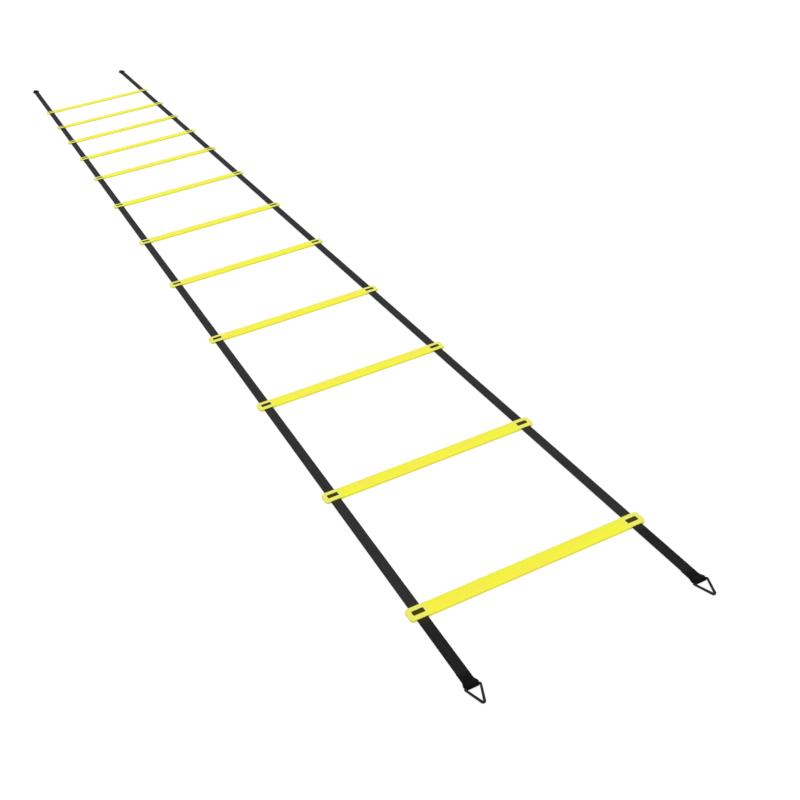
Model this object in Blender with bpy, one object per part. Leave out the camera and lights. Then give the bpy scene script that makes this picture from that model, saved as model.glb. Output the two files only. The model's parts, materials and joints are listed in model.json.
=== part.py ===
"""Agility ladder: moulded rungs that slide on two webbing straps, with a triangular ring at each strap end.

Metres, +Z up. Y runs along the ladder from its near end to its far end, X across it. The ladder lies
on the plane z = 0, and the origin is the middle of its footprint.
"""

import math

import bmesh
import bpy
from mathutils import Matrix, Vector

# Driving dimensions of the ladder
rung_pitch = 0.360
rung_pitch_shares = (0.963, 1.016, 0.975, 1.013, 0.959, 0.989, 0.883, 0.729, 0.674, 0.665, 0.735)
strap_spacing = 0.389
near_strap_end = 0.1710
far_strap_end = 0.4175

# Driving dimensions of a rung
rung_width = 0.029
rung_end_margin = 0.0085
rung_corner_radius = 0.0075
rung_end_edge_radius = 0.0016
rung_body_rise = 0.0011
rung_ramp_length = 0.0060
pad_inner_margin = 0.0040
centre_bar_thickness = 0.0015
centre_bar_width = 0.0046
centre_bar_lift = 0.0002
centre_bar_root = 0.0015
edge_bar_thickness = 0.0020
window_width = 0.0106
window_corner_radius = 0.0016
window_chamfer = 0.0005
window_end_relief = 0.0002
channel_overlap_share = 0.5

# Driving dimensions of the webbing
strap_width = 0.0190
strap_thickness = 0.0012
strap_edge_chamfer = 0.0003
flare_width = 0.0244
sewn_length = 0.0330
loop_rise_length = 0.0150

# Driving dimensions of a ring
ring_wire = 0.0036
ring_side_play = 0.0003
ring_reach = 0.0325
ring_corner_radius = 0.0021
ring_tip_radius = 0.0022

# Clearances and overruns
touch_gap = 0.0003
slot_side_play = 0.0003
cut_overrun = 0.0020

# Heights above the floor that the webbing and the rung share
strap_bottom = centre_bar_thickness + touch_gap
strap_top = strap_bottom + strap_thickness
edge_bar_bottom = strap_top + touch_gap
pad_height = edge_bar_bottom + edge_bar_thickness
tail_bottom = strap_bottom - touch_gap - strap_thickness

# Lengths along a rung
channel_width = strap_width + 2 * slot_side_play
window_length = channel_width + 2 * window_end_relief
rung_length = strap_spacing + window_length + 2 * rung_end_margin

# The sewn loop round a ring's straight side
wire_radius = ring_wire / 2
loop_inner_radius = wire_radius + touch_gap
loop_outer_radius = loop_inner_radius + strap_thickness
ring_axis_height = loop_outer_radius
loop_middle_radius = loop_inner_radius + strap_thickness / 2

# Half of a rung's cross-section, from the foot of its side to the middle of its top: the shares of
# the half width, and of the height in the crowned body and in the flat end pads
section_width_shares = (0.976, 1.000, 1.000, 0.985, 0.950, 0.870, 0.700, 0.400, 0.000)
body_height_shares = (0.000, 0.060, 0.500, 0.660, 0.790, 0.890, 0.955, 0.990, 1.000)
pad_height_shares = (0.000, 0.060, 0.800, 0.870, 0.930, 0.970, 0.990, 1.000, 1.000)

# Where the webbing's flare behind the ring starts and peaks, along the rise
flare_start_share = 0.07
flare_peak_share = 0.23

# Smoothness
corner_steps = 4
window_steps = 3
ramp_steps = 3
wire_sides = 12
ring_bend_steps = 6
ring_settling_rounds = 12
loop_steps = 10
rise_steps = 8
strap_runs = 12
smooth_angle = math.radians(35)

near_side = -1
far_side = 1
left_side = -1
right_side = 1


def clear_scene():
    for old in list(bpy.data.objects):
        bpy.data.objects.remove(old, do_unlink=True)


def make_material(name, colour, roughness, metallic):
    material = bpy.data.materials.new(name)
    material.use_nodes = True
    shader = material.node_tree.nodes["Principled BSDF"]
    shader.inputs["Base Color"].default_value = (*colour, 1)
    shader.inputs["Roughness"].default_value = roughness
    shader.inputs["Metallic"].default_value = metallic
    return material


def add_object(name, mesh, material):
    item = bpy.data.objects.new(name, mesh)
    bpy.context.collection.objects.link(item)
    if not mesh.materials:
        mesh.materials.append(material)
    return item


def mesh_from(bm, name):
    bmesh.ops.recalc_face_normals(bm, faces=bm.faces)
    mesh = bpy.data.meshes.new(name)
    bm.to_mesh(mesh)
    bm.free()
    mesh.shade_smooth()
    mesh.set_sharp_from_angle(angle=smooth_angle)
    return mesh


def bridge(bm, ring_a, ring_b):
    """Faces between two closed rings of as many vertices."""
    count = len(ring_a)
    for i in range(count):
        j = (i + 1) % count
        bm.faces.new((ring_a[i], ring_a[j], ring_b[j], ring_b[i]))


def skin_rings(bm, rings):
    """A closed skin over a row of rings, with a flat face at each end."""
    for ring_a, ring_b in zip(rings, rings[1:]):
        bridge(bm, ring_a, ring_b)
    bm.faces.new(reversed(rings[0]))
    bm.faces.new(rings[-1])


def rounded_rectangle(length, width, radius, steps):
    """Plan outline centred on the origin, as (x, y) pairs."""
    points = []
    for corner in range(4):
        turn = corner * math.pi / 2
        side_x = 1 if corner in (0, 3) else -1
        side_y = 1 if corner in (0, 1) else -1
        centre_x = side_x * (length / 2 - radius)
        centre_y = side_y * (width / 2 - radius)
        for step in range(steps + 1):
            angle = turn + step / steps * math.pi / 2
            points.append((centre_x + radius * math.cos(angle), centre_y + radius * math.sin(angle)))
    return points


def stack_outlines(bm, outlines, heights, offset_x=0):
    """A solid through a stack of plan outlines at the given heights."""
    rings = []
    for outline, height in zip(outlines, heights):
        rings.append([bm.verts.new((x + offset_x, y, height)) for x, y in outline])
    skin_rings(bm, rings)


def add_box(bm, centre, size):
    place = Matrix.Translation(centre) @ Matrix.Diagonal((*size, 1))
    bmesh.ops.create_cube(bm, size=1, matrix=place)


def rung_stations():
    """Where a rung's cross-sections stand on its right half, from the middle of the rung outwards.

    Each is (distance along X, width, height, share of the way from pad to body). The plan corner
    and the top edge of the end face are quarter rounds.
    """
    stations = []
    pad_start = strap_spacing / 2 - window_length / 2 - pad_inner_margin
    for step in range(ramp_steps + 1):
        share = step / ramp_steps
        body_share = 1 - smooth_step(share)
        place = pad_start - rung_ramp_length * (1 - share)
        stations.append((place, rung_width, pad_height + rung_body_rise * body_share, body_share))
    for step in range(corner_steps + 1):
        angle = step / corner_steps * math.pi / 2
        place = rung_length / 2 - rung_corner_radius * (1 - math.sin(angle))
        lost_width = rung_corner_radius * (1 - math.cos(angle))
        into_edge = max(0, place - (rung_length / 2 - rung_end_edge_radius))
        lost_height = rung_end_edge_radius - math.sqrt(rung_end_edge_radius ** 2 - into_edge ** 2)
        stations.append((place, rung_width - 2 * lost_width, pad_height - lost_height, 0))
    return stations


def rung_section(bm, place, width, height, body_share):
    """One cross-section, as a ring of vertices at a place along X."""
    half_outline = []
    for width_share, body_z, pad_z in zip(section_width_shares, body_height_shares, pad_height_shares):
        height_share = pad_z + (body_z - pad_z) * body_share
        half_outline.append((width_share * width / 2, height_share * height))
    outline = half_outline + [(-y, z) for y, z in reversed(half_outline[:-1])]
    return [bm.verts.new((place, y, z)) for y, z in outline]


def rung_blank():
    """The moulded bar before its windows are cut: a crowned body that drops to a flat pad at each end."""
    stations = rung_stations()
    mirrored = [(-place, width, height, share) for place, width, height, share in reversed(stations)]
    bm = bmesh.new()
    skin_rings(bm, [rung_section(bm, *station) for station in mirrored + stations])
    return mesh_from(bm, "rung_blank")


def window_cutter():
    """Two upright prisms with round corners and a chamfered mouth, one for each strap."""
    levels = (
        (-cut_overrun, 0),
        (pad_height - window_chamfer, 0),
        (pad_height + cut_overrun, window_chamfer + cut_overrun),
    )
    bm = bmesh.new()
    for side in (left_side, right_side):
        outlines = []
        for height, growth in levels:
            outlines.append(rounded_rectangle(
                window_length + 2 * growth,
                window_width + 2 * growth,
                window_corner_radius + growth,
                window_steps,
            ))
        heights = [height for height, growth in levels]
        stack_outlines(bm, outlines, heights, side * strap_spacing / 2)
    return mesh_from(bm, "window_cutter")


def channel_cutter():
    """The tunnels under the outer bars, open downwards and to the window."""
    overlap = channel_overlap_share * (window_width - centre_bar_width) / 2
    inner_edge = window_width / 2 - overlap
    outer_edge = rung_width / 2 + cut_overrun
    height = edge_bar_bottom + cut_overrun
    bm = bmesh.new()
    for side in (left_side, right_side):
        for end in (near_side, far_side):
            centre = Vector((side * strap_spacing / 2, end * (inner_edge + outer_edge) / 2,
                             edge_bar_bottom - height / 2))
            add_box(bm, centre, (channel_width, outer_edge - inner_edge, height))
    return mesh_from(bm, "channel_cutter")


def centre_bars():
    """The bars that the strap runs over, rooted in the window's end walls."""
    length = window_length + 2 * centre_bar_root
    height = centre_bar_thickness - centre_bar_lift
    bm = bmesh.new()
    for side in (left_side, right_side):
        centre = Vector((side * strap_spacing / 2, 0, centre_bar_lift + height / 2))
        add_box(bm, centre, (length, centre_bar_width, height))
    return mesh_from(bm, "centre_bars")


def add_tool(name, mesh):
    tool = bpy.data.objects.new(name, mesh)
    bpy.context.collection.objects.link(tool)
    tool.hide_render = True
    tool.display_type = "WIRE"
    return tool


def rung_mesh():
    """One rung, centred on the origin and standing on z = 0."""
    blank = add_tool("rung_blank", rung_blank())
    steps = (
        ("windows", "DIFFERENCE", window_cutter()),
        ("channels", "DIFFERENCE", channel_cutter()),
        ("bars", "UNION", centre_bars()),
    )
    for name, operation, tool_mesh in steps:
        modifier = blank.modifiers.new(name, "BOOLEAN")
        modifier.operation = operation
        modifier.solver = "EXACT"
        modifier.object = add_tool(name + "_tool", tool_mesh)
    graph = bpy.context.evaluated_depsgraph_get()
    mesh = bpy.data.meshes.new_from_object(blank.evaluated_get(graph))
    mesh.name = "rung"
    mesh.materials.clear()
    mesh.shade_smooth()
    mesh.set_sharp_from_angle(angle=smooth_angle)
    bpy.data.objects.remove(blank, do_unlink=True)
    for name, operation, tool_mesh in steps:
        bpy.data.objects.remove(bpy.data.objects[name + "_tool"], do_unlink=True)
    return mesh


def smooth_step(share):
    share = min(max(share, 0), 1)
    return share * share * (3 - 2 * share)


def webbing_width(behind):
    """Width of the webbing at a distance behind the ring's straight side."""
    start = flare_start_share * loop_rise_length
    peak = flare_peak_share * loop_rise_length
    if behind < peak:
        swell = smooth_step((behind - start) / (peak - start))
    else:
        swell = smooth_step((loop_rise_length - behind) / (loop_rise_length - peak))
    return strap_width + (flare_width - strap_width) * swell


def end_route():
    """The webbing's middle line at one end, from the tail's cut edge to the full-length run.

    Each point is (distance beyond the ring's axis, height, width); behind the axis is negative.
    """
    half = strap_thickness / 2
    tail_height = tail_bottom + half
    run_height = strap_bottom + half
    loop_low = ring_axis_height - loop_middle_radius
    loop_high = ring_axis_height + loop_middle_radius
    points = [(-sewn_length, tail_height, strap_width)]
    for step in range(rise_steps):
        behind = loop_rise_length * (1 - step / rise_steps)
        rise = smooth_step(behind / loop_rise_length)
        points.append((-behind, loop_low + (tail_height - loop_low) * rise, webbing_width(behind)))
    for step in range(loop_steps + 1):
        angle = math.pi * step / loop_steps
        points.append((
            loop_middle_radius * math.sin(angle),
            ring_axis_height - loop_middle_radius * math.cos(angle),
            strap_width,
        ))
    for step in range(1, rise_steps + 1):
        behind = loop_rise_length * step / rise_steps
        drop = smooth_step(behind / loop_rise_length)
        points.append((-behind, loop_high + (run_height - loop_high) * drop, webbing_width(behind)))
    points.append((-sewn_length, run_height, strap_width))
    return points


def strap_route():
    """The whole strap's middle line as (y, z, width), near tail to far tail."""
    near_points = [(near_ring_y - beyond, z, width) for beyond, z, width in end_route()]
    far_points = [(far_ring_y + beyond, z, width) for beyond, z, width in reversed(end_route())]
    start_y = near_points[-1][0]
    end_y = far_points[0][0]
    run_height = near_points[-1][1]
    middle = []
    for step in range(1, strap_runs):
        middle.append((start_y + (end_y - start_y) * step / strap_runs, run_height, strap_width))
    return near_points + middle + far_points


def strap_mesh(name):
    """Webbing swept along its route, thin across the route and flat along X."""
    route = strap_route()
    bm = bmesh.new()
    rings = []
    half = strap_thickness / 2
    for i, (y, z, width) in enumerate(route):
        before = Vector(route[max(i - 1, 0)][:2])
        after = Vector(route[min(i + 1, len(route) - 1)][:2])
        along = (after - before).normalized()
        up_y, up_z = -along.y, along.x
        half_width = width / 2
        inner = half_width - strap_edge_chamfer
        flat = half - strap_edge_chamfer
        section = (
            (-inner, -half), (inner, -half), (half_width, -flat), (half_width, flat),
            (inner, half), (-inner, half), (-half_width, flat), (-half_width, -flat),
        )
        rings.append([bm.verts.new((x, y + up_y * h, z + up_z * h)) for x, h in section])
    skin_rings(bm, rings)
    return mesh_from(bm, name)


def ring_triangle():
    """Half the base and the height of the sharp triangle that the wire's middle line rounds off.

    The webbing loop fits between the sloping sides, and the tip's overshoot past its rounding
    depends on the slope, so both are settled together in a few rounds.
    """
    half_base = strap_width / 2 + ring_side_play + wire_radius
    height = ring_reach
    for settling in range(ring_settling_rounds):
        half_tip = math.atan2(half_base, height)
        height = ring_reach + ring_tip_radius * (1 / math.sin(half_tip) - 1)
        wire_half_slice = wire_radius / math.cos(half_tip)
        front_half_width = strap_width / 2 + ring_side_play + wire_half_slice
        half_base = front_half_width + loop_outer_radius * math.tan(half_tip)
    return half_base, height


def ring_line():
    """Middle line of the wire: a triangle with round corners, straight side on the X axis, tip at -Y."""
    half_base, height = ring_triangle()
    corners = (
        (Vector((-half_base, 0)), ring_corner_radius),
        (Vector((half_base, 0)), ring_corner_radius),
        (Vector((0, -height)), ring_tip_radius),
    )
    points = []
    for i, (corner, radius) in enumerate(corners):
        to_last = (corners[i - 1][0] - corner).normalized()
        to_next = (corners[(i + 1) % 3][0] - corner).normalized()
        half_angle = to_last.angle(to_next) / 2
        middle = (to_last + to_next).normalized()
        centre = corner + middle * (radius / math.sin(half_angle))
        start = corner + to_last * (radius / math.tan(half_angle)) - centre
        sweep = math.pi - 2 * half_angle
        for step in range(ring_bend_steps + 1):
            spoke = Matrix.Rotation(-sweep * step / ring_bend_steps, 2) @ start
            points.append(centre + spoke)
    return points


def ring_mesh():
    """Wire swept round the triangle, straight side on the X axis."""
    line = ring_line()
    count = len(line)
    bm = bmesh.new()
    rings = []
    for i, point in enumerate(line):
        arrive = (point - line[i - 1]).normalized()
        leave = (line[(i + 1) % count] - point).normalized()
        along = (arrive + leave).normalized()
        stretch = 1 / math.cos(arrive.angle(leave) / 2)
        across = Vector((along.y, -along.x)) * stretch
        section = []
        for side in range(wire_sides):
            angle = 2 * math.pi * side / wire_sides
            reach = wire_radius * math.cos(angle)
            height = wire_radius * math.sin(angle)
            section.append(bm.verts.new((point.x + across.x * reach, point.y + across.y * reach, height)))
        rings.append(section)
    for i in range(count):
        bridge(bm, rings[i], rings[(i + 1) % count])
    return mesh_from(bm, "ring")


# A ring leans down until its tip lies on the floor
ring_lean = math.asin((ring_axis_height - wire_radius) / ring_reach)
ring_plan_reach = ring_reach * math.cos(ring_lean) + wire_radius

# Places along the ladder, with the whole footprint centred on y = 0
rung_steps = [share * rung_pitch for share in rung_pitch_shares]
ladder_length = near_strap_end + sum(rung_steps) + far_strap_end + 2 * ring_plan_reach
near_ring_y = -ladder_length / 2 + ring_plan_reach
far_ring_y = ladder_length / 2 - ring_plan_reach
rung_places = [near_ring_y + near_strap_end]
for rung_step in rung_steps:
    rung_places.append(rung_places[-1] + rung_step)


def build_rungs():
    material = make_material("rung_yellow", (0.93, 0.81, 0.05), 0.38, 0)
    mesh = rung_mesh()
    for number, place in enumerate(rung_places, start=1):
        rung = add_object("rung_%02d" % number, mesh, material)
        rung.location = (0, place, 0)


def build_straps():
    material = make_material("webbing_black", (0.028, 0.028, 0.030), 0.80, 0)
    for name, side in (("strap_left", left_side), ("strap_right", right_side)):
        strap = add_object(name, strap_mesh(name), material)
        strap.location = (side * strap_spacing / 2, 0, 0)


def build_rings():
    material = make_material("ring_black", (0.012, 0.012, 0.013), 0.35, 0)
    mesh = ring_mesh()
    for end_name, y, turn in (("near", near_ring_y, 0), ("far", far_ring_y, math.pi)):
        for side_name, side in (("left", left_side), ("right", right_side)):
            ring = add_object("ring_%s_%s" % (end_name, side_name), mesh, material)
            ring.location = (side * strap_spacing / 2, y, ring_axis_height)
            ring.rotation_euler = (ring_lean, 0, turn)


clear_scene()
build_rungs()
build_straps()
build_rings()
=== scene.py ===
import json
import math

import bmesh
import bpy
import numpy as np
from mathutils import Matrix, Vector


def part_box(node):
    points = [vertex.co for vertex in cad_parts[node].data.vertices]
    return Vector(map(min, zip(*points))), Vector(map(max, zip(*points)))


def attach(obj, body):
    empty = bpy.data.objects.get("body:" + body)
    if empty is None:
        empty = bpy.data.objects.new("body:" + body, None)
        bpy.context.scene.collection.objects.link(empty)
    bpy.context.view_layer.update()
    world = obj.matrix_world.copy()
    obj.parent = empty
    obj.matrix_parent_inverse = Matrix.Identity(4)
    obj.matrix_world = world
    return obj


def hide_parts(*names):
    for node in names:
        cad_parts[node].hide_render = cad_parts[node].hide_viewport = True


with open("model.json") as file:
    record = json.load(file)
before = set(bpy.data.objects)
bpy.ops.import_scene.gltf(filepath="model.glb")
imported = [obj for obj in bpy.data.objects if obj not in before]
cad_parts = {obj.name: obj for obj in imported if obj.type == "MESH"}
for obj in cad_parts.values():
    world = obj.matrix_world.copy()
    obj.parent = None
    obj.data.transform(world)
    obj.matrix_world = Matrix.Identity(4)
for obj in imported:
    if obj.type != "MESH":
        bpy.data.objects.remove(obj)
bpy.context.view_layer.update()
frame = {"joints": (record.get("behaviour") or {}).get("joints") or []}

# An agility ladder lying on the floor, in metres: +Z up, +Y along the ladder from its near end to its
# far end, X across it. Rung 1 is the nearest.
rung_numbers = range(1, 13)

# Sizes of a rung, as its solid has them
rung_width = 0.029
rung_length = 0.426
rung_body_height = 0.0064
rung_pad_height = 0.0053
rung_corner_radius = 0.0075
rung_end_edge_radius = 0.0016
body_straight_end = 0.12
ramp_inner_end = 0.1745
ramp_outer_end = 0.1805
window_length = 0.0200
window_width = 0.0106
window_corner_radius = 0.0016
channel_width = 0.0196
channel_height = 0.0033
channel_inner_edge = 0.0038
centre_bar_width = 0.0046
centre_bar_bottom = 0.0002
centre_bar_top = 0.0015
centre_bar_root = 0.0015

# The rung's crown and softened edges, finer than on its solid
body_shoulder_share = 0.50
pad_shoulder_share = 0.80
body_crown_power = 2.5
pad_crown_power = 3.5
foot_inset_share = 0.976
foot_height_share = 0.06
window_lip_radius = 0.0006
window_lip_overrun = 0.0004
cut_overrun = 0.002
moulded_edge_radius = 0.00028
moulded_edge_angle = math.radians(40)
moulded_shading_angle = math.radians(42)

# The webbing's arch over a centre bar
bulge_foot = 0.00525
bulge_foot_bottom = 0.00320
bulge_foot_top = 0.00327
bulge_top = 0.00580
bulge_roundness = 4.0
bulge_edge_rounding = 0.0003
bulge_least_side = 0.00002
bulge_top_shares = (0.6, 0.2, -0.2, -0.6)
bulge_shading_angle = math.radians(50)

# Sizes of the webbing and of its sewn ends
strap_half_spacing = 0.1945
strap_width = 0.0190
strap_thickness = 0.0012
strap_middle_height = 0.0024
tail_middle_height = 0.0012
sewn_length = 0.0330
loop_rise_length = 0.0150
flare_width = 0.0244
loop_width = 0.0195
edge_closing_share = 0.66
edge_closing_start_share = 0.45
flare_start_share = 0.07
flare_peak_share = 0.23
loop_radius = 0.0027
selvedge_share = 0.99
selvedge_radius_share = 0.42
weave_row = 0.00132
weave_columns = 10
weave_relief = 0.00005
weave_relief_falloff = 8.0
rise_row_density = 1.5
yarn_pitch = 0.00095

# Sizes of the sewing
stitch_pitch = 0.0023
stitch_length = 0.0019
thread_width = 0.00046
thread_flatness = 0.8
stitch_box_start = 0.0165
stitch_box_end = 0.0310
stitch_box_width = 0.0150

# Sizes of a ring
ring_wire_radius = 0.0018
ring_wire_sides = 20
ring_bend_steps = 12
ring_side_swell = 0.0003
ring_swell_start = 0.0030
ring_swell_end = 0.0100
ring_half_base = 0.01285
ring_height = 0.0370
ring_reach = 0.0325
ring_axis_height = 0.0033
ring_base_corner_radius = 0.0021
ring_tip_radius = 0.0022

# Where the webbing is darker, by the distance from a ring and by the place along the ladder, the far part
# as a painted shade, and where it takes a painted yellow bounce light from the plastic, by the distance
# from a rung: places in metres, with a share for each
end_dark_places = (0.030, 0.042, 0.155, 0.185)
end_dark_shares = (0.97, 0.54, 0.50, 0.0)
# Towards the far end, a painted shade
far_shade_places = (0.3, 1.7)
far_shade_shares = (0.0, 0.26)
bounce_places = (0.0, 0.005, 0.015)
bounce_shares = (0.66, 0.48, 0.0)
most_bounce_on_strap = 0.92
bounce_on_bulge = 1.0

# Where a rung's plastic is paler and worn: from its middle, from a window's rim, where a painted highlight
# also lies on the lip, and from its long axis
pad_colour_start = 0.1755
pad_colour_end = 0.1860
rim_rub_and_highlight_most = 0.0004
rim_rub_and_highlight_end = 0.0024
edge_wear_start = 0.0118
edge_wear_most = 0.0142

# Colours of the plastic, the webbing, the thread, the rings and the floor
lemon = (0.880, 0.865, 0.030)
warm_lemon = (0.925, 0.785, 0.055)
green_lemon = (0.850, 0.895, 0.026)
pad_lemon = (0.795, 0.800, 0.140)
# Paler rim round each window: wear from the webbing, with a painted highlight on the lip
rub_and_highlight_lemon = (0.900, 0.900, 0.330)
scuffed_lemon = (0.780, 0.760, 0.200)
scratched_lemon = (0.880, 0.860, 0.300)
dusty_lemon = (0.700, 0.640, 0.160)
# Painted shade in the weave's hollows, between its paler yarns
weave_hollow_shade = (0.0110, 0.0110, 0.0118)
weave_yarn = (0.0350, 0.0350, 0.0362)
faded_webbing = (0.0350, 0.0350, 0.0375)
dark_webbing = (0.0012, 0.0012, 0.0015)
# A painted yellow bounce light from the plastic, on the webbing beside each rung and in each window
bounce_lit_webbing = (0.0370, 0.0330, 0.0003)
bounce_lit_bulge = (0.0570, 0.0440, 0.0003)
pale_speck = (0.0700, 0.0715, 0.0730)
# Painted shade in the hollows of the thread's twist
thread_hollow_shade = (0.0030, 0.0030, 0.0034)
thread_strand = (0.0190, 0.0190, 0.0200)
ring_black = (0.0030, 0.0030, 0.0032)
ring_peel = (0.0060, 0.0060, 0.0064)
ring_rubbed = (0.0260, 0.0260, 0.0270)
white = (1, 1, 1, 1)
floor_colour = (0.80, 0.80, 0.80, 1)
floor_seen_colour = (0.25, 0.25, 0.25, 1)

# The floor, and light that adds up to a plain level of 1 on level ground
floor_reach = 60
floor_height = -0.0001
floor_glow = 0.78
surround_light = 0.55
lamp_energy = 1.54
lamp_angle = math.radians(38)
lamp_turn = (math.radians(17), math.radians(-10), 0)

# The photograph's viewpoint, fitted to the places of the rungs' windows
camera_lens = 47.332
camera_sensor = 36
camera_nearest = 0.05
camera_farthest = 200
camera_place = (-0.59636, -2.96387, 1.11803)
camera_right = (0.89696968, -0.42411579, -0.12478452)
camera_up = (0.32303838, 0.43607195, 0.83993301)
camera_back = (-0.30181383, -0.79370464, 0.52814899)


def add_piece(name, mesh, material):
    """A piece of the object, with its place in its mesh."""
    piece = bpy.data.objects.new(name, mesh)
    bpy.context.scene.collection.objects.link(piece)
    mesh.materials.clear()
    mesh.materials.append(material)
    return piece


def finish_piece(piece, body, node=None):
    """Hang a piece on its body, in the place of the solid that it dresses."""
    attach(piece, body)
    if node:
        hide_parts(node)


def evaluated_mesh(item, name):
    """The plain mesh that an object's modifiers make. The object is used up."""
    graph = bpy.context.evaluated_depsgraph_get()
    finished = item.evaluated_get(graph)
    mesh = bpy.data.meshes.new_from_object(finished, preserve_all_data_layers=True, depsgraph=graph)
    mesh.name = name
    bpy.data.objects.remove(item, do_unlink=True)
    return mesh


def give_values(mesh, name, values):
    """A number for each point of a mesh, which a node tree or a material reads."""
    values = np.ascontiguousarray(values, np.float32)
    mesh.attributes.new(name, "FLOAT", "POINT").data.foreach_set("value", values)


def point_places(mesh):
    places = np.empty(len(mesh.vertices) * 3, np.float32)
    mesh.vertices.foreach_get("co", places)
    return places.reshape(-1, 3)


def attribute_values(mesh, name):
    values = np.empty(len(mesh.attributes[name].data), np.float32)
    mesh.attributes[name].data.foreach_get("value", values)
    return values


def smooth_step(share):
    share = min(max(share, 0), 1)
    return share * share * (3 - 2 * share)


# Node trees

def add_node(tree, kind, inputs=None, **settings):
    """A node with its settings made and its inputs filled, by value or by link."""
    node = tree.nodes.new(kind)
    for name, value in settings.items():
        setattr(node, name, value)
    for key, value in (inputs or {}).items():
        if isinstance(value, bpy.types.NodeSocket):
            tree.links.new(value, node.inputs[key])
        else:
            node.inputs[key].default_value = value
    return node


def calc(tree, operation, *values):
    """A sum of numbers or sockets."""
    node = add_node(tree, "ShaderNodeMath", dict(enumerate(values)), operation=operation)
    return node.outputs[0]


def fade(tree, value, start, end, low=0.0, high=1.0):
    """A smooth rise from low to high while the value goes from start to end."""
    inputs = {"Value": value, "From Min": start, "From Max": end, "To Min": low, "To Max": high}
    return add_node(tree, "ShaderNodeMapRange", inputs, interpolation_type="SMOOTHSTEP").outputs[0]


def noise(tree, place, scale, detail=2.0, roughness=0.5):
    """Soft spots from 0 to 1, as many to a metre as the scale says."""
    inputs = {"Vector": place, "Scale": scale, "Detail": detail, "Roughness": roughness}
    return add_node(tree, "ShaderNodeTexNoise", inputs).outputs[0]


def stretch(tree, place, scale):
    """A place with its axes scaled, so that a pattern on it grows long or short along each."""
    return add_node(tree, "ShaderNodeMapping", {"Vector": place, "Scale": scale}).outputs[0]


def tint(tree, share, first, second):
    """The first colour, going over to the second as the share goes to 1."""
    node = add_node(tree, "ShaderNodeMix", data_type="RGBA")
    for key, value in ((0, share), (6, first), (7, second)):
        if isinstance(value, bpy.types.NodeSocket):
            tree.links.new(value, node.inputs[key])
        else:
            node.inputs[key].default_value = (*value, 1) if isinstance(value, tuple) else value
    return node.outputs[2]


def wash(tree, mask, strength, base, over):
    """The base colour with another laid over it, at the given strength where the mask is 1."""
    return tint(tree, calc(tree, "MULTIPLY", mask, strength), base, over)


def lift_bump(tree, shader, height, strength, distance):
    """Make a material's surface stand out where the height is greater."""
    inputs = {"Height": height, "Strength": strength, "Distance": distance}
    bump = add_node(tree, "ShaderNodeBump", inputs)
    tree.links.new(bump.outputs[0], shader.inputs["Normal"])


def piece_place(tree):
    """A point's place on the object."""
    return add_node(tree, "ShaderNodeTexCoord").outputs["Object"]


def start_material(name):
    material = bpy.data.materials.new(name)
    material.use_nodes = True
    return material, material.node_tree, material.node_tree.nodes["Principled BSDF"]


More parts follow.
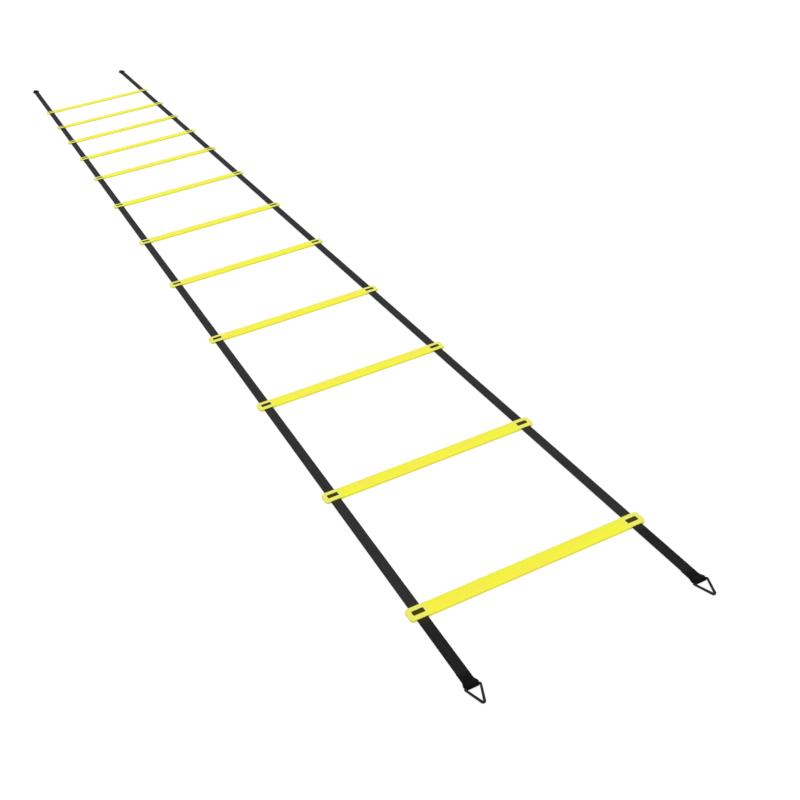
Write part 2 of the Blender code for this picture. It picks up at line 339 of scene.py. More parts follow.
def rung_plastic():
    """Satin lemon-yellow plastic, paler in the end pads and round each window, where the webbing rubs and a
    painted highlight lies on the lip.
    """
    material, tree, shader = start_material("lemon_plastic")
    place = piece_place(tree)
    mould = add_node(tree, "ShaderNodeAttribute", attribute_name="mould_place").outputs["Vector"]
    parts = add_node(tree, "ShaderNodeSeparateXYZ", {"Vector": mould})
    from_middle = calc(tree, "ABSOLUTE", parts.outputs[0])
    from_axis = calc(tree, "ABSOLUTE", parts.outputs[1])

    # Uneven colour of the moulding
    patches = noise(tree, stretch(tree, place, (22, 55, 55)), 1.0, 3.0)
    colour = wash(tree, fade(tree, patches, 0.44, 0.64), 0.75, lemon, warm_lemon)
    patches = noise(tree, stretch(tree, place, (34, 80, 80)), 1.0, 3.0, 0.6)
    colour = wash(tree, fade(tree, patches, 0.50, 0.66), 0.65, colour, green_lemon)

    # Paler end pads, and a paler rim round each window: worn by the webbing, with a painted highlight on
    # the lip
    in_pad = fade(tree, from_middle, pad_colour_start, pad_colour_end)
    colour = wash(tree, in_pad, 0.75, colour, pad_lemon)
    from_strap = calc(tree, "ABSOLUTE", calc(tree, "SUBTRACT", from_middle, strap_half_spacing))
    beside = calc(tree, "MAXIMUM", calc(tree, "SUBTRACT", from_strap, window_length / 2), 0.0)
    before = calc(tree, "MAXIMUM", calc(tree, "SUBTRACT", from_axis, window_width / 2), 0.0)
    beside_squared = calc(tree, "MULTIPLY", beside, beside)
    before_squared = calc(tree, "MULTIPLY", before, before)
    from_window = calc(tree, "SQRT", calc(tree, "ADD", beside_squared, before_squared))
    rub_and_painted_light = fade(tree, noise(tree, place, 900, 3.0, 0.7), 0.30, 0.62)
    near_window = fade(tree, from_window, rim_rub_and_highlight_end, rim_rub_and_highlight_most)
    at_rim = calc(tree, "MULTIPLY", near_window, rub_and_painted_light)
    colour = wash(tree, at_rim, 0.55, colour, rub_and_highlight_lemon)

    # Scuffed long edges, scratches along the ladder and a little dust
    at_edge = fade(tree, from_axis, edge_wear_start, edge_wear_most)
    scuffed = noise(tree, stretch(tree, place, (260, 900, 900)), 1.0, 4.0, 0.65)
    edge_wear = calc(tree, "MULTIPLY", at_edge, fade(tree, scuffed, 0.52, 0.70))
    colour = wash(tree, edge_wear, 0.30, colour, scuffed_lemon)
    dragged = noise(tree, stretch(tree, place, (1500, 22, 400)), 1.0, 2.0, 0.4)
    scratched = fade(tree, noise(tree, place, 45), 0.46, 0.60)
    scratches = calc(tree, "MULTIPLY", fade(tree, dragged, 0.66, 0.72), scratched)
    colour = wash(tree, scratches, 0.35, colour, scratched_lemon)
    dust = fade(tree, noise(tree, place, 130, 5.0, 0.6), 0.56, 0.78)
    colour = wash(tree, dust, 0.16, colour, dusty_lemon)
    tree.links.new(colour, shader.inputs["Base Color"])

    satin = fade(tree, noise(tree, place, 60, 3.0), 0.30, 0.70, 0.36, 0.47)
    roughness = calc(tree, "ADD", satin, calc(tree, "MULTIPLY", edge_wear, 0.18))
    tree.links.new(roughness, shader.inputs["Roughness"])
    shader.inputs["Specular IOR Level"].default_value = 0.34

    grain = noise(tree, place, 2200, 2.0)
    flow = noise(tree, stretch(tree, place, (12, 150, 150)), 1.0, 2.0)
    height = calc(tree, "ADD", calc(tree, "MULTIPLY", grain, 0.50), calc(tree, "MULTIPLY", flow, 1.2))
    height = calc(tree, "SUBTRACT", height, calc(tree, "MULTIPLY", edge_wear, 0.5))
    height = calc(tree, "SUBTRACT", height, calc(tree, "MULTIPLY", scratches, 0.8))
    lift_bump(tree, shader, height, 0.45, 0.00010)
    return material


def weave_height(tree, along, across):
    """The fine weave: yarns side by side across the webbing, each going over and under in turn."""
    yarn = calc(tree, "MULTIPLY", across, 1 / yarn_pitch)
    pick = calc(tree, "MULTIPLY", along, 1 / yarn_pitch)
    lean = calc(tree, "PINGPONG", yarn, 3.0)
    slanted = calc(tree, "ADD", pick, lean)
    round_yarn = calc(tree, "SINE", calc(tree, "MULTIPLY", yarn, math.pi))
    round_yarn = calc(tree, "ABSOLUTE", round_yarn)
    over_under = calc(tree, "SINE", calc(tree, "MULTIPLY", slanted, math.pi))
    over_under = calc(tree, "ABSOLUTE", over_under)
    return calc(tree, "MULTIPLY", calc(tree, "POWER", round_yarn, 0.5), over_under)


def webbing_fabric():
    """Black woven webbing with a slanted yarn pattern, a painted shade in its weave's hollows and pale
    specks, darker where marked, the far part as painted shade, and tinted where marked by a painted yellow
    bounce light from the plastic.
    """
    material, tree, shader = start_material("black_webbing")
    along = add_node(tree, "ShaderNodeAttribute", attribute_name="along").outputs["Fac"]
    across = add_node(tree, "ShaderNodeAttribute", attribute_name="across").outputs["Fac"]
    dark = add_node(tree, "ShaderNodeAttribute", attribute_name="dark").outputs["Fac"]
    rub_and_painted_light = add_node(tree, "ShaderNodeAttribute", attribute_name="rub_and_painted_light").outputs["Fac"]
    place = add_node(tree, "ShaderNodeCombineXYZ", {"X": across, "Y": along}).outputs[0]

    weave = weave_height(tree, along, across)
    # The weave's hollows darkened as painted shade
    colour = tint(tree, weave, weave_hollow_shade, weave_yarn)
    faded = fade(tree, noise(tree, stretch(tree, place, (120, 14, 1)), 1.0, 3.0), 0.30, 0.70)
    colour = wash(tree, faded, 0.50, colour, faded_webbing)
    # Darker where marked; towards the far end this darkening is a painted shade
    colour = tint(tree, dark, colour, dark_webbing)
    # An olive tint where marked, a painted yellow bounce light from the plastic, stronger on the bulges in
    # the windows
    on_bulge = fade(tree, rub_and_painted_light, most_bounce_on_strap, bounce_on_bulge)
    olive = tint(tree, on_bulge, bounce_lit_webbing, bounce_lit_bulge)
    colour = tint(tree, rub_and_painted_light, colour, olive)
    specks = noise(tree, stretch(tree, place, (560, 380, 1)), 1.0, 2.0, 0.5)
    colour = wash(tree, fade(tree, specks, 0.68, 0.73), 0.40, colour, pale_speck)
    tree.links.new(colour, shader.inputs["Base Color"])

    roughness = fade(tree, weave, 0.0, 1.0, 0.88, 0.66)
    tree.links.new(roughness, shader.inputs["Roughness"])
    shader.inputs["Specular IOR Level"].default_value = 0.06

    fuzz = noise(tree, stretch(tree, place, (2600, 2600, 1)), 1.0, 3.0, 0.7)
    height = calc(tree, "ADD", weave, calc(tree, "MULTIPLY", fuzz, 0.35))
    lift_bump(tree, shader, height, 0.70, 0.00018)
    return material


def sewing_thread():
    """Bonded black thread, twisted."""
    material, tree, shader = start_material("black_thread")
    place = piece_place(tree)
    twist = noise(tree, stretch(tree, place, (2600, 2600, 5000)), 1.0, 2.0)
    # Painted shade where the twist is low
    colour = tint(tree, fade(tree, twist, 0.35, 0.65), thread_hollow_shade, thread_strand)
    tree.links.new(colour, shader.inputs["Base Color"])
    tree.links.new(fade(tree, twist, 0.30, 0.70, 0.48, 0.62), shader.inputs["Roughness"])
    shader.inputs["Specular IOR Level"].default_value = 0.35
    lift_bump(tree, shader, twist, 0.6, 0.00008)
    return material


def ring_coating():
    """Black baked coating on steel wire, with a faint orange peel and worn spots."""
    material, tree, shader = start_material("black_ring_coating")
    place = piece_place(tree)
    peel = noise(tree, place, 900, 2.0)
    rub_and_painted_light = fade(tree, noise(tree, place, 260, 5.0, 0.7), 0.60, 0.74)
    colour = tint(tree, fade(tree, peel, 0.30, 0.70), ring_black, ring_peel)
    colour = wash(tree, rub_and_painted_light, 0.45, colour, ring_rubbed)
    tree.links.new(colour, shader.inputs["Base Color"])
    roughness = fade(tree, peel, 0.30, 0.70, 0.46, 0.56)
    roughness = calc(tree, "ADD", roughness, calc(tree, "MULTIPLY", rub_and_painted_light, 0.14))
    tree.links.new(roughness, shader.inputs["Roughness"])
    shader.inputs["Specular IOR Level"].default_value = 0.20
    lift_bump(tree, shader, peel, 0.30, 0.00006)
    return material


# Rungs

def rung_stations():
    """Cross-sections on a rung's right half: (distance from its middle, width, height, body share)."""
    stations = [(place, rung_width, rung_body_height, 1.0) for place in (0.0, body_straight_end)]
    ramp_steps = 10
    for step in range(ramp_steps + 1):
        share = step / ramp_steps
        body_share = 1 - smooth_step(share)
        place = ramp_inner_end + (ramp_outer_end - ramp_inner_end) * share
        height = rung_pad_height + (rung_body_height - rung_pad_height) * body_share
        stations.append((place, rung_width, height, body_share))
    corner_steps = 14
    for step in range(corner_steps + 1):
        angle = step / corner_steps * math.pi / 2
        place = rung_length / 2 - rung_corner_radius * (1 - math.sin(angle))
        lost_width = rung_corner_radius * (1 - math.cos(angle))
        into_edge = max(0.0, place - (rung_length / 2 - rung_end_edge_radius))
        lost_height = rung_end_edge_radius - math.sqrt(rung_end_edge_radius ** 2 - into_edge ** 2)
        stations.append((place, rung_width - 2 * lost_width, rung_pad_height - lost_height, 0.0))
    return stations


def rung_section(bm, place, width, height, body_share):
    """One crowned cross-section as a ring of vertices."""
    shoulder = pad_shoulder_share + (body_shoulder_share - pad_shoulder_share) * body_share
    power = pad_crown_power + (body_crown_power - pad_crown_power) * body_share
    half = [(foot_inset_share, 0.0), (1.0, foot_height_share)]
    crown_steps = 16
    for step in range(crown_steps + 1):
        angle = step / crown_steps * math.pi / 2
        across = max(math.cos(angle), 0.0) ** (2 / power)
        up = math.sin(angle) ** (2 / power)
        half.append((across if step < crown_steps else 0.0, shoulder + (1 - shoulder) * up))
    outline = half + [(-y, z) for y, z in reversed(half[:-1])]
    return [bm.verts.new((place, y * width / 2, z * height)) for y, z in outline]


def skin(bm, rings):
    """A closed skin over a row of vertex rings."""
    for ring_a, ring_b in zip(rings, rings[1:]):
        for i in range(len(ring_a)):
            j = (i + 1) % len(ring_a)
            bm.faces.new((ring_a[i], ring_a[j], ring_b[j], ring_b[i]))
    bm.faces.new(reversed(rings[0]))
    bm.faces.new(rings[-1])


def mesh_of(bm, name):
    bmesh.ops.recalc_face_normals(bm, faces=bm.faces)
    mesh = bpy.data.meshes.new(name)
    bm.to_mesh(mesh)
    bm.free()
    return mesh


def rung_bar():
    """The whole bar of a rung, before its windows and channels are cut."""
    stations = rung_stations()
    mirrored = [(-place, *rest) for place, *rest in reversed(stations[1:])]
    bm = bmesh.new()
    skin(bm, [rung_section(bm, *station) for station in mirrored + stations])
    return mesh_of(bm, "rung_bar")


def rounded_rectangle(length, width, radius, steps):
    points = []
    for corner in range(4):
        side_x = 1 if corner in (0, 3) else -1
        side_y = 1 if corner in (0, 1) else -1
        for step in range(steps + 1):
            angle = (corner + step / steps) * math.pi / 2
            points.append((side_x * (length / 2 - radius) + radius * math.cos(angle),
                           side_y * (width / 2 - radius) + radius * math.sin(angle)))
    return points


def window_punch():
    """Upright prisms for the two windows, flared at the top so that they leave a rounded lip."""
    levels = [(-cut_overrun, 0.0)]
    lip_steps = 4
    corner_steps = 6
    for step in range(lip_steps + 1):
        angle = step / lip_steps * math.pi / 2
        levels.append((rung_pad_height - window_lip_radius * (1 - math.sin(angle)),
                       window_lip_radius * (1 - math.cos(angle))))
    levels.append((rung_pad_height + cut_overrun, window_lip_radius + window_lip_overrun))
    bm = bmesh.new()
    for side in (-1, 1):
        rings = []
        for height, growth in levels:
            outline = rounded_rectangle(window_length + 2 * growth, window_width + 2 * growth,
                                        window_corner_radius + growth, corner_steps)
            rings.append([bm.verts.new((x + side * strap_half_spacing, y, height)) for x, y in outline])
        skin(bm, rings)
    return mesh_of(bm, "window_punch")


def box_mesh(name, boxes):
    """Boxes given by their lowest and highest corners."""
    bm = bmesh.new()
    for low, high in boxes:
        low, high = Vector(low), Vector(high)
        place = Matrix.Translation((low + high) / 2) @ Matrix.Diagonal((*(high - low), 1))
        bmesh.ops.create_cube(bm, size=1, matrix=place)
    return mesh_of(bm, name)


def channel_punch():
    """The open channels on a rung's underside, from each long edge to the centre bar."""
    boxes = []
    for side in (-1, 1):
        left = side * strap_half_spacing - channel_width / 2
        right = side * strap_half_spacing + channel_width / 2
        boxes.append(((left, channel_inner_edge, -cut_overrun), (right, rung_width, channel_height)))
        boxes.append(((left, -rung_width, -cut_overrun), (right, -channel_inner_edge, channel_height)))
    return box_mesh("channel_punch", boxes)


def centre_bars():
    """The bar across each window, under the webbing."""
    reach = window_length / 2 + centre_bar_root
    boxes = []
    for side in (-1, 1):
        middle = side * strap_half_spacing
        boxes.append(((middle - reach, -centre_bar_width / 2, centre_bar_bottom),
                      (middle + reach, centre_bar_width / 2, centre_bar_top)))
    return box_mesh("centre_bars", boxes)


def moulded_rung():
    """One rung with its windows, strap channels and centre bars, standing on the floor at the origin."""
    bar = bpy.data.objects.new("rung_bar", rung_bar())
    bpy.context.scene.collection.objects.link(bar)
    tools = []
    steps = (("DIFFERENCE", window_punch()), ("DIFFERENCE", channel_punch()), ("UNION", centre_bars()))
    for operation, mesh in steps:
        tool = bpy.data.objects.new(mesh.name, mesh)
        bpy.context.scene.collection.objects.link(tool)
        cut = bar.modifiers.new(mesh.name, "BOOLEAN")
        cut.operation, cut.solver, cut.object = operation, "EXACT", tool
        tools.append(tool)
    soften = bar.modifiers.new("moulded_edges", "BEVEL")
    soften.width, soften.segments = moulded_edge_radius, 2
    soften.limit_method, soften.angle_limit = "ANGLE", moulded_edge_angle
    mesh = evaluated_mesh(bar, "moulded_rung")
    for tool in tools:
        bpy.data.objects.remove(tool, do_unlink=True)
    mesh.shade_smooth()
    mesh.set_sharp_from_angle(angle=moulded_shading_angle)
    mould_place = mesh.attributes.new("mould_place", "FLOAT_VECTOR", "POINT")
    mould_place.data.foreach_set("vector", point_places(mesh).ravel())
    return mesh


def build_rungs(material):
    """Twelve rungs from one mould, each where its own solid lies."""
    pattern = moulded_rung()
    for number in rung_numbers:
        node = "rung_%02d" % number
        low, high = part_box(node)
        mesh = pattern.copy()
        mesh.transform(Matrix.Translation((0, (low.y + high.y) / 2, 0)))
        rung = add_piece("moulded_" + node, mesh, material)
        finish_piece(rung, node, node)


# Webbing

def flared_point(behind, height, other_height):
    """A point of one layer behind the ring, where the webbing flares.

    It is (distance beyond the ring's axis, height, width, closing of its edges on the other layer).
    """
    start = flare_start_share * loop_rise_length
    peak = flare_peak_share * loop_rise_length
    if behind < peak:
        base, swell = loop_width, smooth_step((behind - start) / (peak - start))
    else:
        base, swell = strap_width, smooth_step((loop_rise_length - behind) / (loop_rise_length - peak))
    closing = edge_closing_share * swell * (other_height - height) / 2
    return -behind, height, base + (flare_width - base) * swell, closing


def layer_heights(behind):
    """Heights of the upper and the lower layer of the sewn end."""
    drop = smooth_step(behind / loop_rise_length)
    high = ring_axis_height + loop_radius
    low = ring_axis_height - loop_radius
    return high + (strap_middle_height - high) * drop, low + (tail_middle_height - low) * drop


def end_route():
    """Middle line of one sewn end, from the tail's cut edge round the ring, as flared_point gives it."""
    rise_rows = round(loop_rise_length / weave_row * rise_row_density)
    sewn_rows = round((sewn_length - loop_rise_length) / weave_row)
    loop_rows = 16
    tail = []
    for row in range(sewn_rows):
        beyond = -sewn_length + (sewn_length - loop_rise_length) * row / sewn_rows
        tail.append((beyond, tail_middle_height, strap_width, 0))
    for row in range(rise_rows):
        behind = loop_rise_length * (1 - row / rise_rows)
        upper, lower = layer_heights(behind)
        tail.append(flared_point(behind, lower, upper))
    loop = []
    for row in range(loop_rows + 1):
        angle = math.pi * row / loop_rows
        height = ring_axis_height - loop_radius * math.cos(angle)
        loop.append((loop_radius * math.sin(angle), height, loop_width, 0))
    back = []
    for row in range(1, rise_rows + 1):
        behind = loop_rise_length * row / rise_rows
        upper, lower = layer_heights(behind)
        back.append(flared_point(behind, upper, lower))
    return tail + loop + back


def webbing_route():
    """Middle line of a whole strap as (y, z, width, closing of its edges), a point for each row."""
    near_y, far_y = ring_places("near")[0].y, ring_places("far")[0].y
    near = [(near_y - beyond, *rest) for beyond, *rest in end_route()]
    far = [(far_y + beyond, *rest) for beyond, *rest in reversed(end_route())]
    start, end = near[-1][0], far[0][0]
    rows = round((end - start) / weave_row)
    middle = []
    for row in range(1, rows):
        y = start + (end - start) * row / rows
        middle.append((y, strap_middle_height, strap_width, 0))
    return near + middle + far


def line_mesh(name, points, closed=False):
    mesh = bpy.data.meshes.new(name)
    edges = [(i, i + 1) for i in range(len(points) - 1)]
    if closed:
        edges.append((len(points) - 1, 0))
    mesh.from_pydata(points, edges, [])
    return mesh


def start_tree(name, sizes):
    """A geometry tree with a shape coming in, a shape going out and a named input for each size."""
    tree = bpy.data.node_groups.new(name, "GeometryNodeTree")
    tree.interface.new_socket("Geometry", in_out="INPUT", socket_type="NodeSocketGeometry")
    tree.interface.new_socket("Geometry", in_out="OUTPUT", socket_type="NodeSocketGeometry")
    for size_name, value in sizes.items():
        kind = "NodeSocketInt" if isinstance(value, int) else "NodeSocketFloat"
        socket = tree.interface.new_socket(size_name, in_out="INPUT", socket_type=kind)
        socket.default_value = value
    tree.interface.new_socket("Material", in_out="INPUT", socket_type="NodeSocketMaterial")
    return tree, tree.nodes.new("NodeGroupInput").outputs


def end_tree(tree, shape, given):
    """Close a geometry tree: its copies made real, and in its material."""
    shape = add_node(tree, "GeometryNodeRealizeInstances", {0: shape}).outputs[0]
    inputs = {"Geometry": shape, "Material": given["Material"]}
    shape = add_node(tree, "GeometryNodeSetMaterial", inputs).outputs[0]
    out = tree.nodes.new("NodeGroupOutput")
    tree.links.new(shape, out.inputs[0])


def grow(tree, mesh, name, sizes, material):
    """Run a geometry tree on a mesh with the given sizes, and return the plain mesh."""
    item = bpy.data.objects.new(name, mesh)
    bpy.context.scene.collection.objects.link(item)
    nodes = item.modifiers.new(tree.name, "NODES")
    nodes.node_group = tree
    for socket in tree.interface.items_tree:
        if socket.in_out == "INPUT" and socket.name in sizes:
            nodes[socket.identifier] = sizes[socket.name]
        if socket.in_out == "INPUT" and socket.name == "Material":
            nodes[socket.identifier] = material
    return evaluated_mesh(item, name)


def read_number(tree, name):
    node = add_node(tree, "GeometryNodeInputNamedAttribute", {"Name": name}, data_type="FLOAT")
    return node.outputs[0]


def store_number(tree, shape, name, value):
    node = add_node(tree, "GeometryNodeStoreNamedAttribute",
                    {"Geometry": shape, "Name": name, "Value": value}, data_type="FLOAT", domain="POINT")
    return node.outputs[0]


def move_points(tree, shape, offset):
    inputs = {"Geometry": shape, "Offset": offset}
    return add_node(tree, "GeometryNodeSetPosition", inputs).outputs[0]


def along_normal(tree, distance):
    """An offset straight out of the surface."""
    normal = add_node(tree, "GeometryNodeInputNormal").outputs[0]
    inputs = {0: normal, "Scale": distance}
    return add_node(tree, "ShaderNodeVectorMath", inputs, operation="SCALE").outputs[0]


def webbing_profile(tree, given):
    """A flat profile with round selvedges, its points numbered, and its places and shares across."""
    inputs = {"Width": given["Width"], "Height": given["Thickness"]}
    profile = add_node(tree, "GeometryNodeCurvePrimitiveQuadrilateral", inputs, mode="RECTANGLE").outputs[0]
    index = add_node(tree, "GeometryNodeInputIndex").outputs[0]
    on_flat = calc(tree, "SUBTRACT", 1.0, calc(tree, "MODULO", index, 2.0))
    cuts = calc(tree, "MULTIPLY", on_flat, calc(tree, "SUBTRACT", given["Columns"], 1.0))
    profile = add_node(tree, "GeometryNodeSubdivideCurve", {"Curve": profile, "Cuts": cuts}).outputs[0]
    position = add_node(tree, "GeometryNodeInputPosition").outputs[0]
    across = add_node(tree, "ShaderNodeSeparateXYZ", {0: position}).outputs[0]
    half_width = calc(tree, "MULTIPLY", given["Width"], 0.5)
    share = calc(tree, "DIVIDE", calc(tree, "ABSOLUTE", across), half_width)
    at_selvedge = calc(tree, "GREATER_THAN", share, selvedge_share)
    radius = calc(tree, "MULTIPLY", given["Thickness"], selvedge_radius_share)
    radius = calc(tree, "MULTIPLY", at_selvedge, radius)
    profile = add_node(tree, "GeometryNodeFilletCurve",
                       {"Curve": profile, "Count": 1, "Radius": radius}, mode="POLY").outputs[0]
    return store_number(tree, profile, "step_round", index), index, across, share


def webbing_tree():
    """Webbing laid along a route, whose weave stands out in rows and columns."""
    tree, given = start_tree("webbing_weave", {
        "Width": strap_width, "Thickness": strap_thickness,
        "Columns": weave_columns, "Relief": weave_relief})
    profile, index, across, share = webbing_profile(tree, given)
    route = add_node(tree, "GeometryNodeMeshToCurve", {"Mesh": given["Geometry"]}).outputs[0]
    run = add_node(tree, "GeometryNodeSplineParameter").outputs["Length"]
    route = store_number(tree, route, "along", run)
    route = store_number(tree, route, "row", index)
    shape = add_node(tree, "GeometryNodeCurveToMesh",
                     {"Curve": route, "Profile Curve": profile, "Fill Caps": True}).outputs[0]
    shape = store_number(tree, shape, "across", across)

    # Rows and columns stand out in turn, less towards the selvedges
    flat_share = calc(tree, "SUBTRACT", 1.0, calc(tree, "POWER", share, weave_relief_falloff))
    column = calc(tree, "DIVIDE", across, given["Width"])
    column = calc(tree, "ROUND", calc(tree, "MULTIPLY", column, given["Columns"]))
    turn = calc(tree, "ADD", column, read_number(tree, "row"))
    checker = calc(tree, "COSINE", calc(tree, "MULTIPLY", turn, math.pi))
    lift = calc(tree, "MULTIPLY", calc(tree, "MULTIPLY", checker, flat_share), given["Relief"])
    shape = move_points(tree, shape, along_normal(tree, lift))

    # The flare's width, and its two layers' edges closing on each other
    wider = calc(tree, "SUBTRACT", read_number(tree, "width_share"), 1.0)
    spread = calc(tree, "MULTIPLY", read_number(tree, "across"), wider)
    near_edge = fade(tree, share, edge_closing_start_share, 1.0)
    closing = calc(tree, "MULTIPLY", read_number(tree, "edge_closing"), near_edge)
    flaring = add_node(tree, "ShaderNodeCombineXYZ", {"X": spread, "Z": closing}).outputs[0]
    shape = move_points(tree, shape, flaring)
    end_tree(tree, shape, given)
    return tree


def fold_for_baking(mesh):
    """A UV map, named as the export names its own, that folds the long strap into rows."""
    folds = 10
    margin = 0.004
    row, step = attribute_values(mesh, "row"), attribute_values(mesh, "step_round")
    rows_in_fold = math.ceil((row.max() + 1) / folds)
    steps = step.max() + 1
    corner_point = np.empty(len(mesh.loops), np.int32)
    mesh.loops.foreach_get("vertex_index", corner_point)
    sizes = np.empty(len(mesh.polygons), np.int32)
    mesh.polygons.foreach_get("loop_total", sizes)
    face_of = np.repeat(np.arange(len(sizes)), sizes)
    corner_row, corner_step = row[corner_point], step[corner_point]
    face_row = (np.bincount(face_of, corner_row) / sizes)[face_of]
    face_step = (np.bincount(face_of, corner_step) / sizes)[face_of]
    wraps = (np.abs(corner_step - face_step) > 1) & (corner_step < 0.5)
    corner_step = np.where(wraps, steps, corner_step)
    fold = np.floor(face_row / rows_in_fold)
    u = margin + (1 - 2 * margin) * (corner_row - fold * rows_in_fold) / rows_in_fold
    v = (fold + margin + (1 - 2 * margin) * corner_step / steps) / folds
    flat = mesh.uv_layers.new(name="OFBake")
    flat.data.foreach_set("uv", np.stack((u, v), 1).astype(np.float32).ravel())


def mark_webbing(mesh):
    """Mark where the webbing is darker, towards the far end as a painted shade, and where it takes a
    painted yellow bounce light from the plastic beside each rung.
    """
    along = attribute_values(mesh, "along")
    from_ring = np.abs(np.minimum(along, along.max() - along) - sewn_length)
    y = point_places(mesh)[:, 1]
    end_dark = np.interp(from_ring, end_dark_places, end_dark_shares)
    # A painted shade towards the far end of the ladder
    far_shade = np.interp(y, far_shade_places, far_shade_shares)
    give_values(mesh, "dark", np.maximum(end_dark, far_shade))
    # A painted yellow bounce light from the plastic, strongest at each rung's edge and gone 15 mm beyond it
    rub_and_painted_light = np.zeros(len(y))
    for number in rung_numbers:
        low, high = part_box("rung_%02d" % number)
        beyond = np.maximum(low.y - y, y - high.y)
        rub_and_painted_light = np.maximum(rub_and_painted_light, np.interp(beyond, bounce_places, bounce_shares))
    give_values(mesh, "rub_and_painted_light", rub_and_painted_light)


def build_webbing(material):
    """Both straps, each with its sewn ends in one piece."""
    tree = webbing_tree()
    route = webbing_route()
    for name, side in (("left", -1), ("right", 1)):
        line = line_mesh("route_" + name, [(0, y, z) for y, z, width, closing in route])
        give_values(line, "width_share", [width / strap_width for y, z, width, closing in route])
        give_values(line, "edge_closing", [closing for y, z, width, closing in route])
        mesh = grow(tree, line, "webbing_" + name, {"Columns": weave_columns}, material)
        mesh.transform(Matrix.Translation((side * strap_half_spacing, 0, 0)))
        mesh.shade_smooth()
        fold_for_baking(mesh)
        mark_webbing(mesh)
        for spare in ("row", "step_round", "width_share", "edge_closing"):
            mesh.attributes.remove(mesh.attributes[spare])
        strap = add_piece("webbing_" + name, mesh, material)
        finish_piece(strap, "straps", "strap_" + name)


def webbing_bulge(place):
    """The stretch of webbing that bulges up over a rung's centre bar, inside its window."""
    half, rounding = strap_width / 2, bulge_edge_rounding
    bm = bmesh.new()
    rings = []
    steps = 24
    for step in range(steps + 1):
        y = bulge_foot * math.sin((step / steps - 0.5) * math.pi)
        rise = math.sqrt(max(0.0, 1 - abs(y / bulge_foot) ** bulge_roundness))
        top = bulge_foot_top + (bulge_top - bulge_foot_top) * rise
        bottom = max(bulge_foot_bottom, top - strap_thickness)
        shoulder = max(top - rounding, bottom + bulge_least_side)
        outline = ((-half, bottom), (half, bottom), (half, shoulder), (half - rounding, top))
        outline += tuple((half * share, top) for share in bulge_top_shares)
        outline += ((-half + rounding, top), (-half, shoulder))
        rings.append([bm.verts.new((x, y, z)) for x, z in outline])
    skin(bm, rings)
    mesh = mesh_of(bm, "webbing_bulge")
    points = point_places(mesh)
    give_values(mesh, "across", points[:, 0])
    give_values(mesh, "along", points[:, 1] + place.y)
    # The whole bulge takes its window's painted yellow bounce light
    give_values(mesh, "rub_and_painted_light", np.full(len(points), bounce_on_bulge))
    mesh.transform(Matrix.Translation(place))
    mesh.shade_smooth()
    mesh.set_sharp_from_angle(angle=bulge_shading_angle)
    return mesh


def build_bulges(material):
    """The webbing's bulges slide with their rung, as real ones do when it is pushed along."""
    for number in rung_numbers:
        node = "rung_%02d" % number
        low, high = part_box(node)
        for name, side in (("left", -1), ("right", 1)):
            mesh = webbing_bulge(Vector((side * strap_half_spacing, (low.y + high.y) / 2, 0)))
            bulge = add_piece("webbing_over_bar_%02d_%s" % (number, name), mesh, material)
            finish_piece(bulge, node)


# Sewing

def stitch_lines():
    """The box and cross sewn at one end, as (across, behind the ring's axis) corners of each line."""
    half = stitch_box_width / 2
    near, far = stitch_box_start, stitch_box_end
    corners = ((-half, near), (half, near), (half, far), (-half, far))
    lines = [(corners[i], corners[(i + 1) % 4]) for i in range(4)]
    return lines + [(corners[0], corners[2]), (corners[1], corners[3])]


def sewing_tree():
    """Stitches spaced along seam lines, each a short spindle of thread pulled into the cloth."""
    tree, given = start_tree("seam_stitches", {
        "Pitch": stitch_pitch, "Stitch length": stitch_length, "Thread": thread_width})
    line = add_node(tree, "GeometryNodeMeshToCurve", {"Mesh": given["Geometry"]}).outputs[0]
    line = add_node(tree, "GeometryNodeResampleCurve",
                    {"Curve": line, "Length": given["Pitch"]}, mode="LENGTH").outputs[0]
    points = add_node(tree, "GeometryNodeCurveToPoints", {"Curve": line}, mode="EVALUATED")
    turn = add_node(tree, "FunctionNodeAlignRotationToVector",
                    {"Vector": points.outputs["Tangent"]}, axis="X", pivot_axis="Z")
    ball = add_node(tree, "GeometryNodeMeshUVSphere",
                    {"Segments": 8, "Rings": 5, "Radius": 0.5}).outputs[0]
    height = calc(tree, "MULTIPLY", given["Thread"], thread_flatness)
    size = add_node(tree, "ShaderNodeCombineXYZ",
                    {"X": given["Stitch length"], "Y": given["Thread"], "Z": height}).outputs[0]
    stitch = add_node(tree, "GeometryNodeTransform", {"Geometry": ball, "Scale": size}).outputs[0]
    shape = add_node(tree, "GeometryNodeInstanceOnPoints", {
        "Points": points.outputs[0], "Instance": stitch, "Rotation": turn.outputs[0]}).outputs[0]
    end_tree(tree, shape, given)
    return tree


def build_stitching(material):
    """The sewing of both ends of each strap, seen on the upper layer and under the lower one."""
    tree = sewing_tree()
    top = strap_middle_height + strap_thickness / 2
    under = tail_middle_height - strap_thickness / 2
    for name, side in (("left", -1), ("right", 1)):
        points, edges = [], []
        for end in ("near", "far"):
            ring = next(place for place in ring_places(end) if place.x * side > 0)
            inward = 1 if end == "near" else -1
            for height in (top, under):
                for line in stitch_lines():
                    edges.append((len(points), len(points) + 1))
                    for across, behind in line:
                        points.append((ring.x + across, ring.y + inward * behind, height))
        seams = bpy.data.meshes.new("seams_" + name)
        seams.from_pydata(points, edges, [])
        mesh = grow(tree, seams, "stitching_" + name, {"Pitch": stitch_pitch}, material)
        mesh.shade_smooth()
        thread = add_piece("stitching_" + name, mesh, material)
        finish_piece(thread, "straps")


# Rings

def ring_places(end):
    """The middle of each ring's straight side at one end of the ladder, where its joint is."""
    return [Vector(joint["pos_m"]) for joint in frame["joints"]
            if joint["child"].startswith("ring_" + end)]


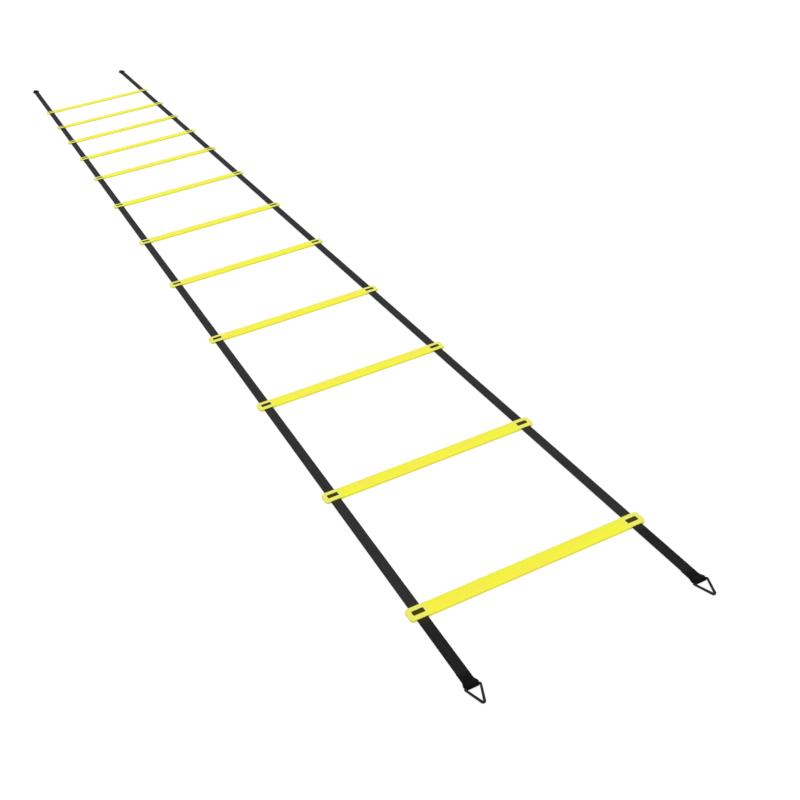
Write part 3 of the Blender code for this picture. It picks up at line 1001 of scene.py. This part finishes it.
def ring_tree():
    """Round wire bent to a triangle with rounded corners, stouter on its free sides."""
    tree, given = start_tree("bent_wire", {
        "Wire radius": ring_wire_radius, "Bend steps": ring_bend_steps, "Sides": ring_wire_sides,
        "Side swell": ring_side_swell})
    line = add_node(tree, "GeometryNodeMeshToCurve", {"Mesh": given["Geometry"]}).outputs[0]
    bend = read_number(tree, "bend_radius")
    inputs = {"Curve": line, "Count": given["Bend steps"], "Radius": bend}
    line = add_node(tree, "GeometryNodeFilletCurve", inputs, mode="POLY").outputs[0]
    inputs = {"Resolution": given["Sides"], "Radius": given["Wire radius"]}
    wire = add_node(tree, "GeometryNodeCurvePrimitiveCircle", inputs, mode="RADIUS").outputs[0]
    shape = add_node(tree, "GeometryNodeCurveToMesh",
                     {"Curve": line, "Profile Curve": wire}).outputs[0]
    position = add_node(tree, "GeometryNodeInputPosition").outputs[0]
    along = add_node(tree, "ShaderNodeSeparateXYZ", {0: position}).outputs[1]
    on_side = fade(tree, along, -ring_swell_start, -ring_swell_end)
    swell = calc(tree, "MULTIPLY", on_side, given["Side swell"])
    outward = along_normal(tree, swell)
    upward = add_node(tree, "ShaderNodeCombineXYZ", {"Z": swell}).outputs[0]
    offset = add_node(tree, "ShaderNodeVectorMath", {0: outward, 1: upward}, operation="ADD").outputs[0]
    end_tree(tree, move_points(tree, shape, offset), given)
    return tree


def build_rings(material):
    """The four rings, each lying from its loop down to the floor at its tip."""
    tree = ring_tree()
    lean = math.asin((ring_axis_height - ring_wire_radius) / ring_reach)
    corners = [(-ring_half_base, 0, 0), (ring_half_base, 0, 0), (0, -ring_height, 0)]
    bends = (ring_base_corner_radius, ring_base_corner_radius, ring_tip_radius)
    for end, turn in (("near", 0.0), ("far", math.pi)):
        laid = Matrix.Rotation(turn, 4, "Z") @ Matrix.Rotation(lean, 4, "X")
        for place in ring_places(end):
            name = "%s_%s" % (end, "left" if place.x < 0 else "right")
            line = line_mesh("ring_line", corners, closed=True)
            give_values(line, "bend_radius", bends)
            mesh = grow(tree, line, "wire_ring_" + name, {"Sides": ring_wire_sides}, material)
            mesh.transform(Matrix.Translation(place) @ laid)
            mesh.shade_smooth()
            ring = add_piece("wire_ring_" + name, mesh, material)
            finish_piece(ring, "ring_" + name, "ring_" + name)


# Camera, floor and light

def place_camera():
    """The camera at the photograph's viewpoint."""
    camera = bpy.data.cameras.new("camera")
    camera.lens, camera.sensor_width = camera_lens, camera_sensor
    camera.clip_start, camera.clip_end = camera_nearest, camera_farthest
    item = bpy.data.objects.new("camera", camera)
    bpy.context.scene.collection.objects.link(item)
    turned = Matrix((camera_right, camera_up, camera_back)).transposed().to_4x4()
    item.matrix_world = Matrix.Translation(camera_place) @ turned
    bpy.context.scene.camera = item


def seen_directly(tree):
    """1 for what the camera, a reflection or a transmission sees, and 0 for light on its way round."""
    path = add_node(tree, "ShaderNodeLightPath")
    seen = calc(tree, "MAXIMUM", path.outputs["Is Camera Ray"], path.outputs["Is Glossy Ray"])
    return calc(tree, "MAXIMUM", seen, path.outputs["Is Transmission Ray"])


def lay_floor():
    """A plain floor, white to look at and pale for the light on its way round."""
    mesh = bpy.data.meshes.new("floor")
    corners = [(x * floor_reach, y * floor_reach, floor_height)
               for x, y in ((-1, -1), (1, -1), (1, 1), (-1, 1))]
    mesh.from_pydata(corners, [], [(0, 1, 2, 3)])
    material = bpy.data.materials.new("white_floor")
    material.use_nodes = True
    tree = material.node_tree
    tree.nodes.clear()
    plain = add_node(tree, "ShaderNodeBsdfDiffuse", {"Color": floor_colour}).outputs[0]
    shaded = add_node(tree, "ShaderNodeBsdfDiffuse", {"Color": floor_seen_colour}).outputs[0]
    glow = add_node(tree, "ShaderNodeEmission", {"Color": white, "Strength": floor_glow}).outputs[0]
    seen = add_node(tree, "ShaderNodeAddShader", {0: shaded, 1: glow}).outputs[0]
    mixed = add_node(tree, "ShaderNodeMixShader", {0: seen_directly(tree), 1: plain, 2: seen})
    add_node(tree, "ShaderNodeOutputMaterial", {"Surface": mixed.outputs[0]})
    floor = bpy.data.objects.new("floor", mesh)
    mesh.materials.append(material)
    bpy.context.scene.collection.objects.link(floor)


def light_studio():
    """An even white surround and one very soft lamp above."""
    world = bpy.data.worlds.new("studio")
    world.use_nodes = True
    tree = world.node_tree
    tree.nodes.clear()
    strength = fade(tree, seen_directly(tree), 0.0, 1.0, surround_light, 1.0)
    background = add_node(tree, "ShaderNodeBackground", {"Color": white, "Strength": strength})
    add_node(tree, "ShaderNodeOutputWorld", {"Surface": background.outputs[0]})
    bpy.context.scene.world = world
    lamp = bpy.data.lights.new("soft_lamp", "SUN")
    lamp.energy, lamp.angle = lamp_energy, lamp_angle
    item = bpy.data.objects.new("soft_lamp", lamp)
    item.rotation_euler = lamp_turn
    bpy.context.scene.collection.objects.link(item)


bpy.context.scene.view_settings.view_transform = "Standard"
place_camera()
lay_floor()
light_studio()
build_rungs(rung_plastic())
fabric = webbing_fabric()
build_webbing(fabric)
build_bulges(fabric)
build_stitching(sewing_thread())
build_rings(ring_coating())
